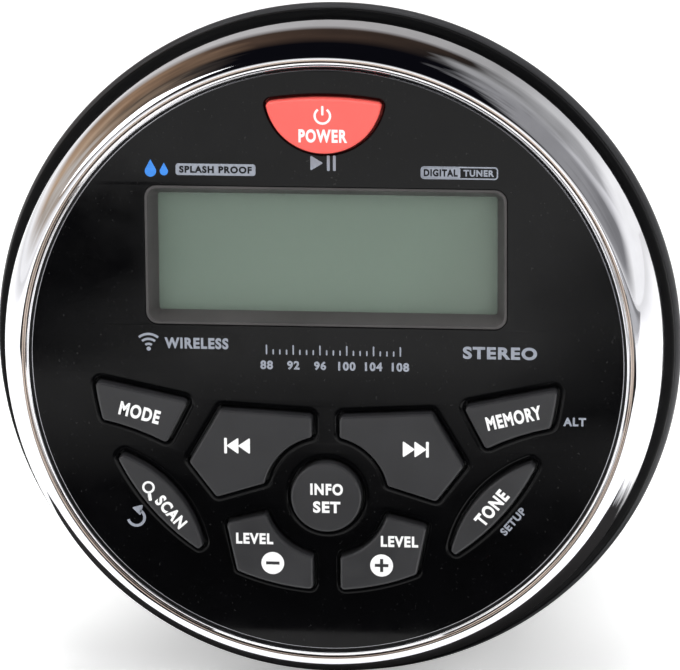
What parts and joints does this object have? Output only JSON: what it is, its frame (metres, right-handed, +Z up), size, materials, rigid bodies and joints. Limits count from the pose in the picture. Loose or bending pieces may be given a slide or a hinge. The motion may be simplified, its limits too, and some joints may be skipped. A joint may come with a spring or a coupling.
{
  "type": "marine stereo",
  "caption": "Round gauge-style marine stereo with a chrome bezel, grey-green display, soft push keys and a finned rear cover for a 76 mm panel hole.",
  "frame": {"origin": "on the barrel's axis, on the front of the panel that the gasket seats on", "axes": "-Y out of the face towards the user, +Y back along the barrel, +Z up, +X to the user's right"},
  "size_m": [0.104, 0.1016, 0.104],
  "materials": {
    "gasket_rubber": "satin moulded rubber",
    "case_plastic": "black moulded plastic, glossy on the rim",
    "bezel_chrome": "polished chrome plating",
    "face_gloss": "polished black",
    "seal_rubber": "soft black seal",
    "screw_steel": "stainless",
    "frame_plastic": "dark grey, satin",
    "lens_clear": "clear",
    "lcd_glass": "grey-green display glass",
    "clip_steel": "pressed sheet",
    "guide_plastic": "milky light guide",
    "lamp_white": "pale lamp body",
    "zebra_rubber": "striped contact rubber",
    "mat_rubber": "translucent silicone",
    "key_red": "coral red, soft matte",
    "key_grey": "dark grey, soft matte",
    "board_green": "solder mask",
    "contact_gold": "gold plated",
    "chip_black": "moulded chip body",
    "connector_plastic": "natural nylon",
    "can_steel": "tinned sheet",
    "module_blue": "blue solder mask",
    "capacitor_sleeve": "can with a printed sleeve",
    "choke_copper": "lacquered copper winding",
    "thermal_grey": "soft thermal pad",
    "sink_aluminium": "cast, dark anodised",
    "gland_rubber": "moulded rubber",
    "stud_steel": "stainless"
  },
  "bodies": {
    "housing": {"panel_gasket": "gasket_rubber", "housing_flange": "case_plastic", "main_housing": "case_plastic", "front_case": "case_plastic", "bezel_ring": "bezel_chrome", "faceplate": "face_gloss", "face_tape": "seal_rubber", "front_seal": "seal_rubber", "case_screws": "screw_steel", "display_frame": "frame_plastic", "display_lens": "lens_clear", "lcd_clip": "clip_steel", "lcd_panel": "lcd_glass", "light_guide": "guide_plastic", "backlight_leds": "lamp_white", "zebra_strips": "zebra_rubber", "keypad_mat": "mat_rubber", "power_mat": "mat_rubber", "front_board": "board_green", "key_contacts": "contact_gold", "key_leds": "lamp_white", "display_driver": "chip_black", "board_screws": "screw_steel", "header_plug": "connector_plastic", "header_socket": "connector_plastic", "main_board": "board_green", "controller_chip": "chip_black", "tuner_can": "can_steel", "wireless_module": "module_blue", "filter_capacitors": "capacitor_sleeve", "supply_choke": "choke_copper", "harness_socket": "connector_plastic", "amplifier_chip": "chip_black", "thermal_pad": "thermal_grey", "amplifier_clamp": "clip_steel", "amplifier_screws": "screw_steel", "rear_heatsink": "sink_aluminium", "rear_seal": "seal_rubber", "rear_screws": "screw_steel", "power_gland": "gland_rubber", "signal_gland": "gland_rubber", "aerial_gland": "gland_rubber", "mounting_studs": "stud_steel"},
    "power_key": {"power_key": "key_red"},
    "mode_key": {"mode_key": "key_grey"},
    "memory_key": {"memory_key": "key_grey"},
    "previous_key": {"previous_key": "key_grey"},
    "next_key": {"next_key": "key_grey"},
    "scan_key": {"scan_key": "key_grey"},
    "tone_key": {"tone_key": "key_grey"},
    "enter_key": {"enter_key": "key_grey"},
    "volume_down_key": {"volume_down_key": "key_grey"},
    "volume_up_key": {"volume_up_key": "key_grey"}
  },
  "joints": [
    {"name": "power_press", "type": "slide", "parent": "housing", "child": "power_key", "axis": [0, 1, 0], "range_m": [0, 0.0008], "stiffness_N_per_m": 1500, "springref_m": -0.0002},
    {"name": "mode_press", "type": "slide", "parent": "housing", "child": "mode_key", "axis": [0, 1, 0], "range_m": [0, 0.0008], "stiffness_N_per_m": 1500, "springref_m": -0.0002},
    {"name": "memory_press", "type": "slide", "parent": "housing", "child": "memory_key", "axis": [0, 1, 0], "range_m": [0, 0.0008], "stiffness_N_per_m": 1500, "springref_m": -0.0002},
    {"name": "previous_press", "type": "slide", "parent": "housing", "child": "previous_key", "axis": [0, 1, 0], "range_m": [0, 0.0008], "stiffness_N_per_m": 1500, "springref_m": -0.0002},
    {"name": "next_press", "type": "slide", "parent": "housing", "child": "next_key", "axis": [0, 1, 0], "range_m": [0, 0.0008], "stiffness_N_per_m": 1500, "springref_m": -0.0002},
    {"name": "scan_press", "type": "slide", "parent": "housing", "child": "scan_key", "axis": [0, 1, 0], "range_m": [0, 0.0008], "stiffness_N_per_m": 1500, "springref_m": -0.0002},
    {"name": "tone_press", "type": "slide", "parent": "housing", "child": "tone_key", "axis": [0, 1, 0], "range_m": [0, 0.0008], "stiffness_N_per_m": 1500, "springref_m": -0.0002},
    {"name": "enter_press", "type": "slide", "parent": "housing", "child": "enter_key", "axis": [0, 1, 0], "range_m": [0, 0.0008], "stiffness_N_per_m": 1500, "springref_m": -0.0002},
    {"name": "volume_down_press", "type": "slide", "parent": "housing", "child": "volume_down_key", "axis": [0, 1, 0], "range_m": [0, 0.0008], "stiffness_N_per_m": 1500, "springref_m": -0.0002},
    {"name": "volume_up_press", "type": "slide", "parent": "housing", "child": "volume_up_key", "axis": [0, 1, 0], "range_m": [0, 0.0008], "stiffness_N_per_m": 1500, "springref_m": -0.0002}
  ]
}
